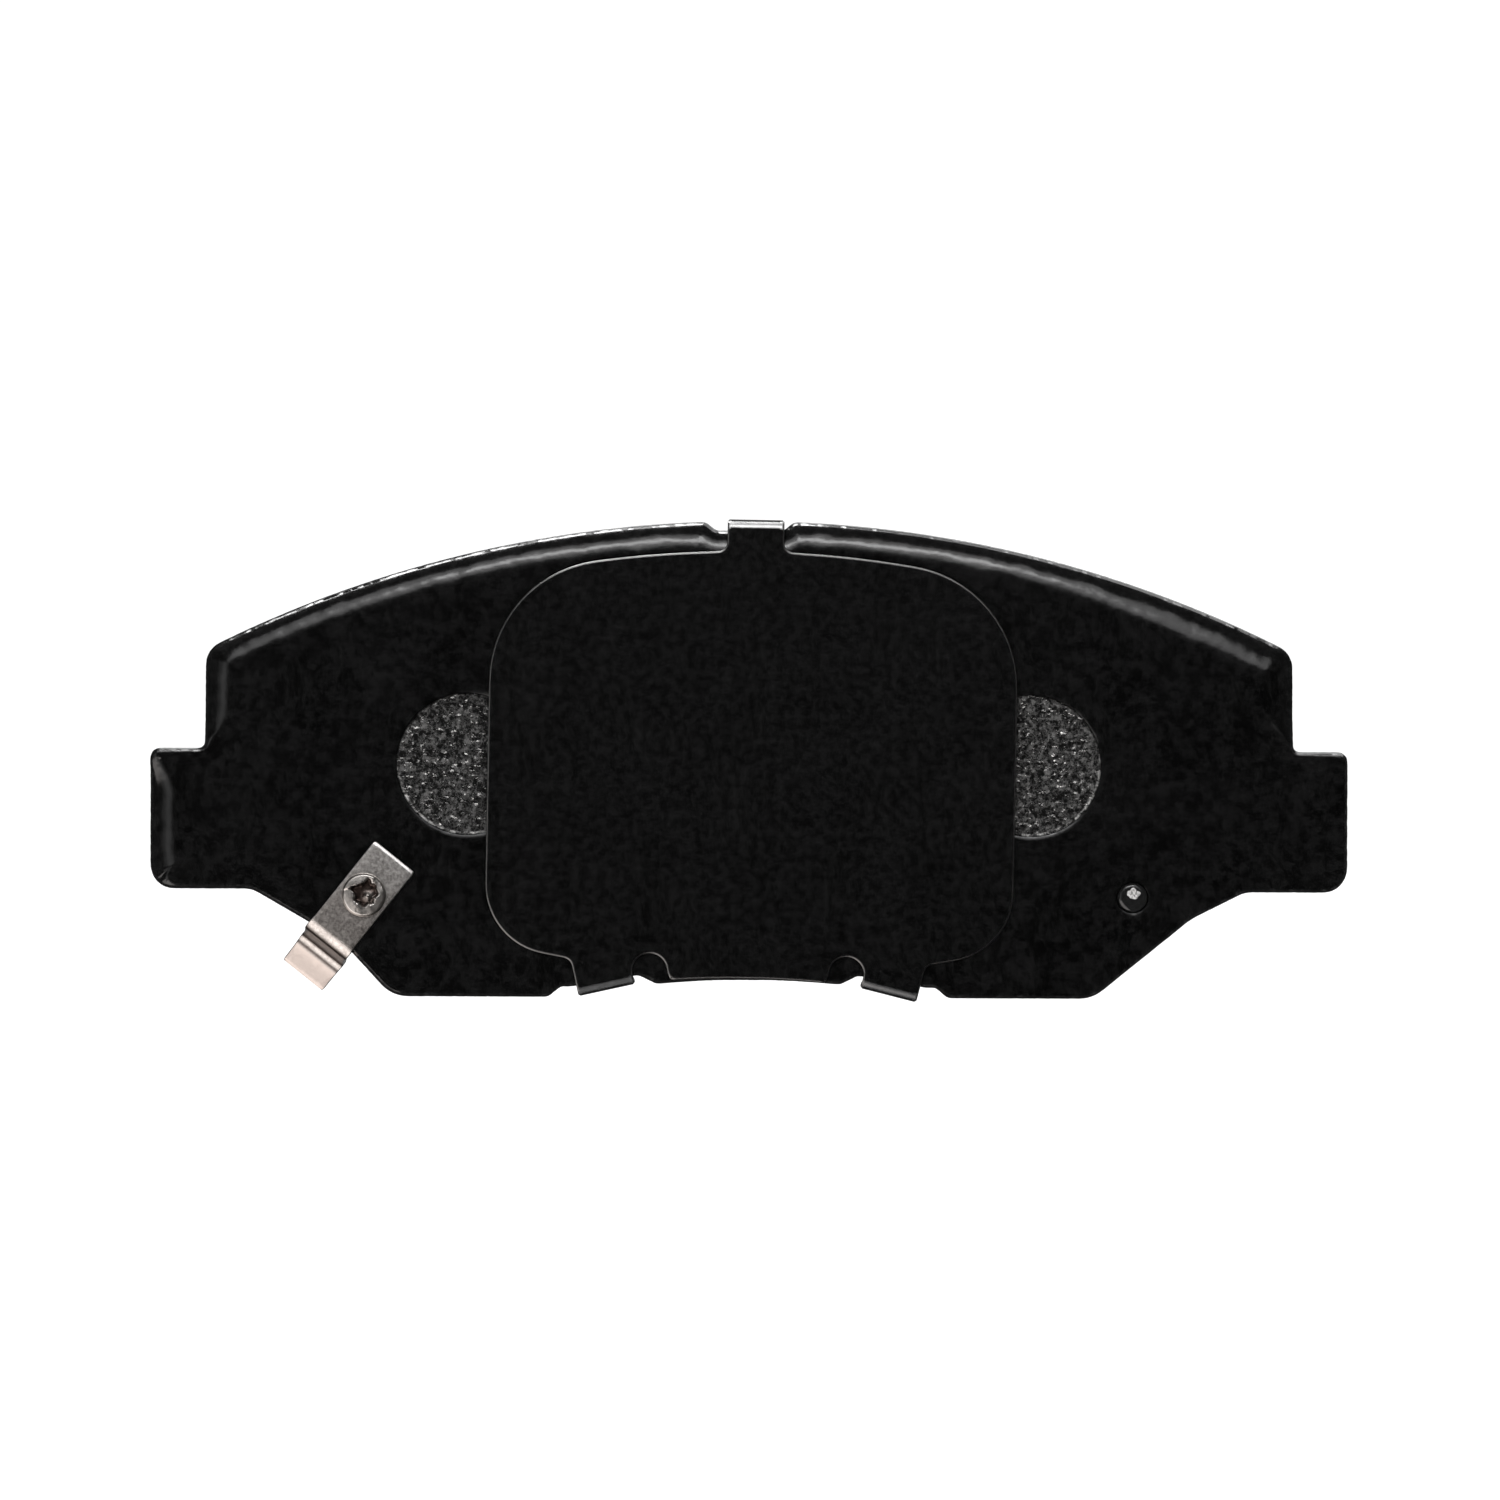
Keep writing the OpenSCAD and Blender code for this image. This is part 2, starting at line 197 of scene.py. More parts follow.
def piece(name, points, faces, material, body, slot, stands_for=(), attributes=None, sharp=40):
    """A smooth-shaded mesh object from millimetre points, riding on a body of the frame."""
    mesh = bpy.data.meshes.new(name)
    mesh.from_pydata([Vector(p) * MM for p in points], [], [list(map(int, f)) for f in faces])
    for key, values in (attributes or {}).items():
        mesh.attributes.new(key, "FLOAT", "POINT").data.foreach_set("value", np.asarray(values, np.float32))
    work = bmesh.new()
    work.from_mesh(mesh)
    bmesh.ops.remove_doubles(work, verts=work.verts, dist=1e-7)
    bmesh.ops.dissolve_degenerate(work, edges=work.edges, dist=1e-8)
    bmesh.ops.recalc_face_normals(work, faces=work.faces)
    work.to_mesh(mesh)
    work.free()
    mesh.shade_smooth()
    mesh.set_sharp_from_angle(angle=math.radians(sharp))
    mesh.materials.append(material)
    obj = bpy.data.objects.new(name, mesh)
    bpy.context.scene.collection.objects.link(obj)
    if body:
        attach(obj, body)
    if stands_for:
        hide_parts(*stands_for)
    return obj


def staggered(low, high, pitch):
    """Points in staggered rows over a rectangle."""
    return np.array([(x + (row % 2) * pitch / 2, z)
                     for row, z in enumerate(np.arange(low[1], high[1], pitch * 0.87))
                     for x in np.arange(low[0], high[0], pitch)])


def tube(rows, size, first=0):
    """The faces between closed rows of size points each, from the point with the number first."""
    return [[first + row * size + i, first + row * size + (i + 1) % size,
             first + (row + 1) * size + (i + 1) % size, first + (row + 1) * size + i]
            for row in range(rows - 1) for i in range(size)]


def slab(loops, levels, pitch, face_y, wall, back_y, extra=None, ease=None):
    """A closed slab as (points, faces). Its face is a net at face_y(points, distances, nearest points), which
    starts levels[0] inside the outlines. Wall rings of (inset, share of the way to the back, jaggedness) lead
    down to a flat back at back_y. ease scales each outline's insets."""
    outs = [out_of(l) for l in loops]
    ease = ease or [1.0] * len(loops)
    edges = [l - n * levels[0] * k for l, n, k in zip(loops, outs, ease)]
    inner = [] if extra is None else [extra]
    for level in levels[1:]:
        ring = np.vstack([l - n * level for l, n in zip(loops, outs)])
        gap, _ = nearest(ring, loops)
        inner.append(ring[(gap > level * 0.97) & inside(ring, loops)])
    grid = staggered(np.vstack(loops).min(0), np.vstack(loops).max(0), pitch)
    gap, _ = nearest(grid, loops)
    inner.append(grid[(gap > levels[-1] + pitch * 0.5) & inside(grid, loops)])
    flat, tris = net(edges, np.vstack(inner))
    gap, which = nearest(flat, loops)
    y = face_y(flat, gap, which)
    points = [np.column_stack([flat[:, 0], y, flat[:, 1]])]
    faces = [tris]
    edge_start, total, last = 0, len(flat), []
    for loop, out, loop_ease in zip(loops, outs, ease):
        start, edge_y = edge_start, y[edge_start:edge_start + len(loop)]
        edge_start += len(loop)
        k = np.arange(len(loop))
        nxt = (k + 1) % len(loop)
        for inset, share, jag in wall:
            ring_y = edge_y + (back_y - edge_y) * share
            place = np.column_stack([loop[:, 0], ring_y, loop[:, 1]])
            shift = loop_ease * (inset + (jag * np.abs(rough(place, 1.1, 3 + share, 4)) if jag else 0))
            ring = loop - out * np.reshape(shift, (-1, 1))
            points.append(np.column_stack([ring[:, 0], ring_y, ring[:, 1]]))
            faces.append(np.column_stack([start + k, start + nxt, total + nxt, total + k]))
            start, total = total, total + len(loop)
        last.append((start, ring))
    cap, cap_tris = net([ring for _, ring in last], np.zeros((0, 2)))
    ids = np.concatenate([start + np.arange(len(ring)) for start, ring in last])
    faces.append(ids[cap_tris])
    return np.vstack(points), [f for part in faces for f in part]


def rolled(gap, width, depth):
    """How far a rounded edge falls away at a distance from the edge, for a roll of that width and depth."""
    share = np.clip(1 - gap / width, 0, 0.998)
    return depth * (1 - np.sqrt(1 - share**2))


def drawn_in(gap, width, drop):
    """The same for an edge that punching has drawn in: an ellipse's arc, of a share drop of its full depth."""
    share = ARC_END * np.clip(1 - gap / width, 0, 1)
    return width * ARC_DROP * drop * (1 - np.sqrt(1 - share**2))


def turning(loop, reach):
    """How far an outline turns within a reach of each point, in quarter turns: above 0 at outer corners."""
    run = np.roll(loop, -1, 0) - loop
    angle = np.arctan2(run[:, 1], run[:, 0])
    bend = (angle - np.roll(angle, 1) + math.pi) % (2 * math.pi) - math.pi
    step = np.linalg.norm(run, axis=1).mean()
    return averaged(bend, 2 * int(reach / step) + 3, total=True) / (math.pi / 2)


def averaged(values, count, total=False):
    """A closed row of values, each the weighted mean of its neighbours, or with total their weighted sum."""
    window = np.hanning(count + 2)
    window = window if total else window / window.sum()
    padded = np.concatenate([values[-len(window):], values, values[:len(window)]])
    return np.convolve(padded, window, "same")[len(window):-len(window)]


# ---------------------------------------------------------------- materials


class Nodes:
    """A short way to write a material's nodes."""

    def __init__(self, name):
        self.material = bpy.data.materials.new(name)
        self.material.use_nodes = True
        self.tree = self.material.node_tree
        self.shader = self.tree.nodes["Principled BSDF"]
        self.place = self.add("ShaderNodeTexCoord").outputs["Object"]

    def add(self, kind, **values):
        node = self.tree.nodes.new(kind)
        for key, value in values.items():
            if key in node.inputs:
                self.feed(node.inputs[key], value)
            else:
                setattr(node, key, value)
        return node

    def feed(self, socket, value):
        if isinstance(value, bpy.types.NodeSocket):
            self.tree.links.new(value, socket)
        else:
            socket.default_value = value

    def noise(self, per_mm, detail=3.0, roughness=0.6, stretch=None):
        """Noise with about per_mm features to a millimetre."""
        place = self.place
        if stretch:
            place = self.add("ShaderNodeMapping", Vector=place, Scale=stretch).outputs[0]
        node = self.add("ShaderNodeTexNoise", Vector=place, Scale=per_mm / MM, Detail=detail,
                        Roughness=roughness)
        return node.outputs["Fac"]

    def cells(self, per_mm):
        """The distance to the nearest of random points, of which there are about per_mm to a millimetre."""
        return self.add("ShaderNodeTexVoronoi", Vector=self.place, Scale=per_mm / MM).outputs["Distance"]

    def between(self, value, low, high, to_low=0.0, to_high=1.0):
        """A value from low to high, spread over to_low to to_high and held there outside."""
        node = self.add("ShaderNodeMapRange", Value=value)
        for key, number in zip(("From Min", "From Max", "To Min", "To Max"), (low, high, to_low, to_high)):
            node.inputs[key].default_value = number
        return node.outputs[0]

    def mix(self, share, a, b):
        node = self.add("ShaderNodeMix", data_type="RGBA")
        self.feed(node.inputs["Factor"], share)
        self.feed(node.inputs["A"], a)
        self.feed(node.inputs["B"], b)
        return node.outputs["Result"]

    def math(self, operation, a, b=0.0):
        node = self.add("ShaderNodeMath", operation=operation)
        self.feed(node.inputs[0], a)
        self.feed(node.inputs[1], b)
        return node.outputs[0]

    def weigh(self, a, b, part):
        """That part of a, and the rest of b."""
        return self.math("ADD", self.math("MULTIPLY", a, part), self.math("MULTIPLY", b, 1 - part))

    def mottled_black(self, cloud, mottle):
        """A black that varies a little, in broad clouds and in a finer mottle, which are two noises."""
        share = self.weigh(self.between(cloud, 0.35, 0.7), self.between(mottle, 0.42, 0.62), 0.3)
        return self.mix(share, grey(0.0006), grey(0.0048))

    def attribute(self, name):
        return self.add("ShaderNodeAttribute", attribute_name=name).outputs["Fac"]

    def bump(self, height, mm, under=None):
        """Raises the surface by height times that many millimetres."""
        node = self.add("ShaderNodeBump", Height=height, Distance=mm * MM)
        if under:
            self.feed(node.inputs["Normal"], under)
        return node.outputs["Normal"]

    def set(self, **values):
        """Feeds the shader's inputs, and returns the material."""
        for key, value in values.items():
            self.feed(self.shader.inputs[key.replace("_", " ")], value)
        return self.material


def grey(value, warm=0.0):
    """A grey colour, whose red is raised and whose blue is lowered by the share warm."""
    return (value * (1 + warm), value, value * (1 - warm), 1)


def powder_coat():
    """Semi-gloss black powder coat with a fine orange peel and a few specks of dust."""
    n = Nodes("black_powder_coat")
    fine = n.noise(3.2, 4, 0.7)
    speck = n.between(n.cells(0.35), 0.0, 0.045, 1.0, 0.0)
    paint = n.mottled_black(n.noise(0.12, 4), n.noise(0.8, 3, 0.7))
    peel = n.bump(n.noise(0.9, 2), 0.012)
    return n.set(
        Base_Color=n.mix(n.math("MULTIPLY", speck, 0.4), paint, grey(0.03)),
        Roughness=n.between(fine, 0.3, 0.75, 0.14, 0.2),
        Normal=n.bump(fine, 0.006, peel),
    )


def rubber_coat(name):
    """Black rubber coating with a fine pressed grain. The tabs' bends have stretched it thin over the steel."""
    n = Nodes(name)
    grain = n.noise(4.5, 3, 0.7)
    lint = n.between(n.cells(0.22), 0.0, 0.03, 1.0, 0.0)
    black = n.mottled_black(n.noise(0.2, 5), n.noise(0.9, 3, 0.7))
    linty = n.mix(n.math("MULTIPLY", lint, 0.4), black, grey(0.04))
    worn = n.math("MULTIPLY", n.attribute("worn"), n.between(n.noise(0.9, 4, 0.7), 0.3, 0.62, 0.75, 1.0))
    return n.set(
        Base_Color=n.mix(worn, linty, grey(0.55)),
        Metallic=worn,
        Roughness=n.math("ADD", n.between(grain, 0.3, 0.75, 0.17, 0.22), n.math("MULTIPLY", worn, 0.22)),
        Normal=n.bump(grain, 0.008),
    )


def tab_shade_rubber():
    """The same rubber made dark, matt and nearly unreflecting as painted shade, on the part of the upper tab
    that faces up.
    """
    n = Nodes("tab_shade_rubber")
    grain = n.noise(3.0, 4, 0.7)
    return n.set(
        Base_Color=n.mix(grain, grey(0.002), grey(0.02)),
        Roughness=n.between(grain, 0.3, 0.7, 0.6, 0.8),
        # next to no reflection, so that this part reads as painted shade
        Specular_IOR_Level=0.06,
        Normal=n.bump(grain, 0.01),
    )


def sheared_steel():
    """The bare, streaked edge of a punched sheet."""
    n = Nodes("sheared_steel")
    streak = n.noise(1.2, 3, 0.6, (2.0, 0.35, 2.0))
    return n.set(
        Base_Color=n.mix(streak, grey(0.1), grey(0.24, 0.02)),
        Metallic=1.0,
        Roughness=n.between(streak, 0.3, 0.7, 0.28, 0.45),
        Normal=n.bump(streak, 0.01),
    )


def spring_steel():
    """Warm grey satin strip steel with a fine grain, with a painted highlight towards its tail, and painted
    dark brown shade on its steep wall and in the crease before its tip.
    """
    n = Nodes("spring_steel")
    grain = n.noise(2.4, 4, 0.75)
    cloud = n.between(n.noise(0.5, 3), 0.35, 0.65)
    spots = n.weigh(cloud, n.between(grain, 0.38, 0.62), 0.3)
    clean = n.mix(spots, (0.34, 0.31, 0.29, 1), (0.66, 0.62, 0.59, 1))
    # painted highlight: lighter towards the strip's tail, in patches
    painted_tail_highlight = n.math("MULTIPLY", n.attribute("tail"), n.between(spots, 0, 1, 0.35, 1))
    bright = n.mix(painted_tail_highlight, clean, (0.95, 0.93, 0.91, 1))
    tipped = n.mix(n.attribute("tip"), bright, (0.5, 0.435, 0.4, 1))
    # painted shade: dark brown on the strip's steep wall and in the crease before its tip
    painted_wall_shade = n.math("MULTIPLY", n.attribute("wall"), n.between(cloud, 0, 1, 0.9, 1))
    return n.set(
        Base_Color=n.mix(painted_wall_shade, tipped, (0.035, 0.018, 0.013, 1)),
        Metallic=1.0,
        Roughness=n.between(grain, 0.3, 0.7, 0.3, 0.4),
        Normal=n.bump(grain, 0.006),
    )


def rivet_steel():
    """Bright crimped rivet steel, with painted shade down in its hollow."""
    n = Nodes("rivet_steel")
    grain = n.noise(3.0, 4, 0.7)
    # painted shade down in the crimped hollow
    hollow_shade = n.attribute("hollow_shade")
    bright = n.mix(grain, (0.36, 0.33, 0.31, 1), (0.58, 0.56, 0.53, 1))
    return n.set(
        Base_Color=n.mix(hollow_shade, bright, (0.05, 0.035, 0.03, 1)),
        Metallic=1.0,
        Roughness=n.between(grain, 0.3, 0.7, 0.26, 0.42),
        Normal=n.bump(grain, 0.012),
    )


def pressed_mix(name, dark, light, size=1.0):
    """Pressed friction mix: a dark granular body with pale veins between its crumbs and small bright chips,
    and with a painted highlight along the lower rim of a face, where the face marks one."""
    n = Nodes(name)
    fine = n.noise(0.95 / size, 5, 0.8)
    from_vein = n.math("ABSOLUTE", n.math("SUBTRACT", n.noise(0.8 / size, 4, 0.7), 0.5))
    vein = n.between(from_vein, 0.0, 0.035, 1.0, 0.0)
    chip = n.between(n.noise(1.2 / size, 5, 0.8, (1.0, 1.0, 1.9)), 0.605, 0.655)
    body = n.mix(n.between(fine, 0.5, 0.61), grey(dark), grey(light, 0.02))
    veined = n.mix(n.math("MULTIPLY", vein, 0.35), body, grey(light * 1.8, 0.02))
    # painted highlight along the lower rim of a plug's face, where light from above falls
    painted_rim_highlight = n.math("MULTIPLY", n.attribute("rim"), n.between(n.noise(0.9, 4, 0.75), 0.47, 0.6))
    # pale holds the real bright chips and the painted rim highlight
    pale = n.math("MAXIMUM", chip, painted_rim_highlight)
    return n.set(
        Base_Color=n.mix(pale, veined, grey(0.9, 0.02)),
        Metallic=n.math("MULTIPLY", pale, 0.2),
        Specular_IOR_Level=0.15,
        Roughness=n.between(fine, 0.3, 0.7, 0.28, 0.6),
        Normal=n.bump(n.math("ADD", fine, n.math("MULTIPLY", vein, 0.25)), 0.5 * size),
    )


def moulded_nub():
    """The small plug: a smooth dark skin, with a pale patch on its upper middle."""
    n = Nodes("moulded_nub")
    grain = n.noise(3.2, 4, 0.75)
    ragged_patch = n.math("ADD", n.attribute("pale_patch"), n.math("MULTIPLY", grain, 0.9))
    crumbs = n.between(n.noise(4.6, 3, 0.8), 0.42, 0.57, 0.2, 1.0)
    pale_patch = n.math("MULTIPLY", n.between(ragged_patch, 0.9, 1.0), crumbs)
    skin = n.mix(grain, grey(0.002), grey(0.012))
    return n.set(
        Base_Color=n.mix(pale_patch, skin, grey(0.46, 0.02)),
        Roughness=n.between(grain, 0.3, 0.7, 0.07, 0.12),
        Normal=n.bump(grain, 0.012),
    )


def cured_film():
    """The thin brown line of cured adhesive."""
    n = Nodes("cured_adhesive")
    blot = n.noise(0.8, 4, 0.7)
    brown = n.mix(n.between(blot, 0.35, 0.65), (0.05, 0.022, 0.01, 1), (0.13, 0.062, 0.026, 1))
    return n.set(
        Base_Color=brown,
        Roughness=n.between(blot, 0.3, 0.7, 0.35, 0.6),
        Normal=n.bump(blot, 0.03),
    )


# ---------------------------------------------------------------- backing plate

ROLL_WIDTH = 3.3     # of the rounded edge that punching leaves on the piston side, along the crown
LOW_ROLL = 0.08      # that width's share along the edges that face down
LOW_DROP = 0.25      # and its depth's share there
LEFT_EAR, RIGHT_EAR = 1.0, 0.35   # the width's share at the two ears' ends
RIGHT_SPREAD = 0.4   # how much wider the crown's rounded edge gets towards the right shoulder
LAND_INSET = 0.42    # how far the rounded edge ends from the outline, where the cut begins
HOLE_LAND = 0.15     # the same share around the holes
HOLE_ROLL, SMALL_HOLE_ROLL = 0.32, 0.28   # the rounded edge's width around the big and the small holes
ARC_END = 0.86       # the rounded edge's profile: how far its ellipse turns, and its height to its width
ARC_DROP = 0.69
EAR_ROOT, EAR_END = 67, 73   # how far from the middle an ear begins, and where its outer end lies beyond
EAR_TOP = 33         # a height above the plate's lowest point that is over both ears
SHOULDER, SHOULDER_RUN = 32, 30   # where the crown's edge starts to widen to the right, and over what length


def backing_plate():
    low, high = box_mm("backing_plate")
    found = flat_loops("backing_plate", Y_AXIS, high.y)
    loops = [outline(found[0], 0.3, 1)] + [outline(l, 0.3, -1, ease=0) for l in found[1:]]
    (x, z), rise = loops[0].T, out_of(loops[0])[:, 1]
    corner = turning(loops[0], 4.0)
    on_ear = np.clip((np.abs(x) - EAR_ROOT) / 1.5, 0, 1) * (z < low.z + EAR_TOP)
    upward = np.clip((rise + np.where(on_ear * (x < 0) > 0, 0.95, 0.45)) / 0.35, 0, 1)
    left_ear = LEFT_EAR * np.clip((z[np.abs(x) > EAR_END].max() - z) / 4, 0.1, 1)
    upward *= 1 - on_ear * (1 - np.where(rise > 0.4, LOW_ROLL, np.where(x < 0, left_ear, RIGHT_EAR)))
    width = ROLL_WIDTH * (LOW_ROLL + (1 - LOW_ROLL) * upward)
    width *= np.clip(1 + np.where(corner > 0, 0.15, 0.8) * corner, 0.2, 1.2)
    width *= 1 + RIGHT_SPREAD * np.clip((x - SHOULDER) / SHOULDER_RUN, 0, 1) * (1 - on_ear)
    drop = LOW_DROP + (1 - LOW_DROP) * upward
    hole_rolls = [np.full(len(l), HOLE_ROLL if loop_length(l) > 30 else SMALL_HOLE_ROLL) for l in loops[1:]]
    width = np.concatenate([averaged(width, 17)] + hole_rolls)
    drop = np.concatenate([averaged(drop, 17)] + [np.ones(len(l)) for l in loops[1:]])
    ease = [1.0] + [HOLE_LAND] * (len(loops) - 1)
    land = LAND_INSET * np.concatenate([np.full(len(l), k) for l, k in zip(loops, ease)])

    def face_y(flat, gap, which):
        place = np.column_stack([flat[:, 0], 0 * gap, flat[:, 1]])
        waver = 1 + 0.07 * rough(place, 5.0, 1)
        dent = 0.035 * rough(place, 1.5, 2) * np.clip(1 - gap / 3.5, 0, 1)
        roll = drawn_in(np.maximum(gap - land[which], 0), width[which] * waver, drop[which])
        return low.y + roll + np.maximum(dent, 0)

    levels = [LAND_INSET, 0.48, 0.58, 0.72, 0.9, 1.1, 1.35, 1.65, 2.0, 2.35, 2.7, 3.05, 3.45, 3.8, 4.4, 5.1]
    wall = [(0.98 * LAND_INSET, 0.004, 0.1), (0.12, 0.078, 0.12), (0.02, 0.122, 0.06), (0.0, 0.2, 0.05),
            (0.0, 0.4, 0.08), (0.0, 0.6, 0.12), (0.0, 0.8, 0.12), (0.02, 0.95, 0.05), (0.2, 1.0, 0)]
    points, faces = slab(loops, levels, 2.0, face_y, wall, high.y, ease=ease)
    piece("backing_plate_coated", points, faces, powder_coat(), "pad", "painted_plate", ["backing_plate"])


# ---------------------------------------------------------------- shim

TAB_BEND = 0.4      # inner radius of the tabs' bends
SKIN_T, STEEL_T, SHIM_T = 0.12, 0.5, 0.74   # thickness of the outer coating, of the steel and of all
SKIN_INSET = 0.17   # how far the coating stops from the shim's cut edge
BEND_OUT = TAB_BEND + SHIM_T      # outer radius of the bends, and their middle one
NEUTRAL = (TAB_BEND + BEND_OUT) / 2
ARC_RUN = NEUTRAL * math.pi / 2   # length of a tab's bend, laid flat
LOWER_WEAR = 0.09   # how thin the coating is on the lower tabs' bends, as a share of the upper one's


def shim_tabs():
    """Each tab's bend: (middle of the flange's outer face, direction out, direction along, half the width)."""
    points, _ = merged_triangles("shim_outer_rubber")
    ends = points[points[:, 1] > points[:, 1].max() - 0.01][:, [0, 2]]
    middle = flat_loops("shim_outer_rubber", Y_AXIS, 0)[0][:, [0, 2]].mean(0)
    tabs = []
    while len(ends):
        near = np.linalg.norm(ends - ends[0], axis=1) < 10
        corners, ends = ends[near], ends[~near]
        away = corners - corners.mean(0)
        along = np.linalg.svd(away)[2][0]
        out = np.array([along[1], -along[0]])
        if out @ (corners.mean(0) - middle) < 0:
            out = -out
        reach = (away @ out).max()
        tabs.append((corners.mean(0) + out * reach, out, along, (away @ along).max()))
    return tabs


def flat_blank(tabs, reach):
    """The shim's outline before it is bent: its flat face's own, with each tab laid out to its reach."""
    flat = flat_loops("shim_outer_rubber", Y_AXIS, 0)[0][:, [0, 2]]
    blank = []
    for a, b in zip(flat, np.roll(flat, -1, 0)):
        blank.append(a)
        for middle, out, along, half in tabs:
            on_line = [abs((p - middle) @ out + BEND_OUT) < 0.03 and abs((p - middle) @ along) < half + 0.03
                       for p in (a, b)]
            if all(on_line) and np.linalg.norm(a - b) > half:
                blank += [a + out * reach, b + out * reach]
    return outline(np.array(blank), 0.3, 1, ease=1)


def tab_rows(tabs, reach):
    """Close rows of points over each tab of the blank, which make its bend round."""
    return np.array([middle + out * (t - BEND_OUT) + along * s
                     for middle, out, along, half in tabs
                     for t in np.arange(-0.3, reach - 0.2, 0.16)
                     for s in np.arange(-half + 0.5, half - 0.4, 0.5)])


def place_on_tab(points, tab):
    """Where points of the blank lie on a tab: how far past the start of its bend, how far aside from its
    middle, and whether within its width."""
    middle, out, along, half = tab
    away = points[:, [0, 2]] - middle
    aside = away @ along
    return away @ out + BEND_OUT, aside, np.abs(aside) < half + 0.5


def fold(points, tabs):
    """Bends the tabs of the blank back over the plate's edge."""
    for tab in tabs:
        middle, out, along, _ = tab
        run, aside, in_width = place_on_tab(points, tab)
        angle = np.clip(run / NEUTRAL, 0, math.pi / 2)
        radius = BEND_OUT - points[:, 1]
        moved = middle + np.outer(radius * np.sin(angle) - BEND_OUT, out) + np.outer(aside, along)
        new_y = BEND_OUT - radius * np.cos(angle) + np.maximum(run - ARC_RUN, 0)
        bent = np.column_stack([moved[:, 0], new_y, moved[:, 1]])
        points = np.where((in_width & (run > 0))[:, None], bent, points)
    return points


def wear(points, tabs):
    """How far the coating is stretched thin over the tabs' bends, and where painted shade goes: from the
    middle of the upper tab's bend on."""
    worn, tab_top_shade = np.zeros(len(points)), np.zeros(len(points))
    for tab in tabs:
        run, _, in_width = place_on_tab(points, tab)
        turned = run / ARC_RUN
        upper = tab[1][1] > 0
        stretched = np.clip(np.minimum(turned - 0.06, 0.5 - turned) * 16, 0, 1)
        worn = np.maximum(worn, stretched * in_width * (1 if upper else LOWER_WEAR))
        # painted shade on the upper tab, past the middle of its bend
        tab_top_shade = np.maximum(tab_top_shade, (turned > 0.5) * in_width * upper)
    return {"worn": worn, "tab_top_shade": tab_top_shade}


def shim():
    tabs = shim_tabs()
    reach = ARC_RUN + box_mm("shim_outer_rubber")[1].y - BEND_OUT
    loop = flat_blank(tabs, reach)
    rows = tab_rows(tabs, reach)
    steel_end = SKIN_T + STEEL_T
    levels = [0.0, 0.04, 0.09, 0.15, 0.22, 0.32, 0.5]
    inset_levels = [SKIN_INSET, 0.21, 0.25, 0.32, 0.5]
    steel_wall = [(0.0, 0.3, 0.0), (0.0, 0.6, 0.03), (0.03, 1.0, 0.03)]
    # each layer's name, node, material and slot, its first and last depth, its edge's roll and its rings
    layers = [
        ("shim_outer_skin", "shim_outer_rubber", rubber_coat("outer_rubber"), "shim_rubber",
         0.0, SKIN_T, (0.1, 0.07), inset_levels, [(SKIN_INSET, 1.0, 0)]),
        ("shim_steel", "shim_core", sheared_steel(), "shim_steel",
         SKIN_T - 0.02, steel_end, (0.2, 0.14), levels, steel_wall),
        ("shim_inner_skin", "shim_inner_rubber", rubber_coat("inner_rubber"), "shim_rubber",
         steel_end, SHIM_T - 0.002, (0.05, 0.02), levels, [(0.03, 1.0, 0)]),
    ]
    for name, node, material, slot, top, back, roll, rings, wall in layers:
        def face_y(flat, gap, which):
            return top + rolled(np.maximum(gap - rings[0], 0), *roll)

        points, faces = slab([loop], rings, 2.2, face_y, wall, back, rows)
        marks = wear(points, tabs)
        layer = piece(name, fold(points, tabs), faces, material, "shim", slot, [node], marks, sharp=50)
        # the outer skin's marked faces get the dark, unreflecting rubber as painted shade
        if node == "shim_outer_rubber":
            shade_tab_top(layer)


def shade_tab_top(layer):
    """Gives a layer's faces that are marked for painted shade the dark, nearly unreflecting rubber."""
    layer.data.materials.append(tab_shade_rubber())
    tab_top_shade = layer.data.attributes["tab_top_shade"].data
    for face in layer.data.polygons:
        face.material_index = int(all(tab_top_shade[v].value > 0.5 for v in face.vertices))


# ---------------------------------------------------------------- wear indicator

EDGE_ROUND = 0.12   # radius of the strip's edges
END_FALL = (1.0, 0.45, 0.1)   # how much of it the strip loses all round at its first and last steps
STRIP_STEP = 0.14   # from one cross-section to the next
TIP_RUN = 3.0       # the strip's last stretch, past its bends, tips back by this many degrees
TIP_TILT = 16.5
TIP_TURN = 1.7      # the stretch before it, in which the wall turns into the tip, and how gently
TIP_EASE = 26


def indicator_frame():
    """The rivet's centre, and the directions along and across the strip."""
    low, high = box_mm("rivet")
    joint = next(j for j in frame["joints"] if j["name"] == "wear_indicator_flex")
    across = Vector(joint["axis"])
    along = Vector((-across.z, 0, across.x))
    return Vector(((low.x + high.x) / 2, 0, (low.z + high.z) / 2)), along, across


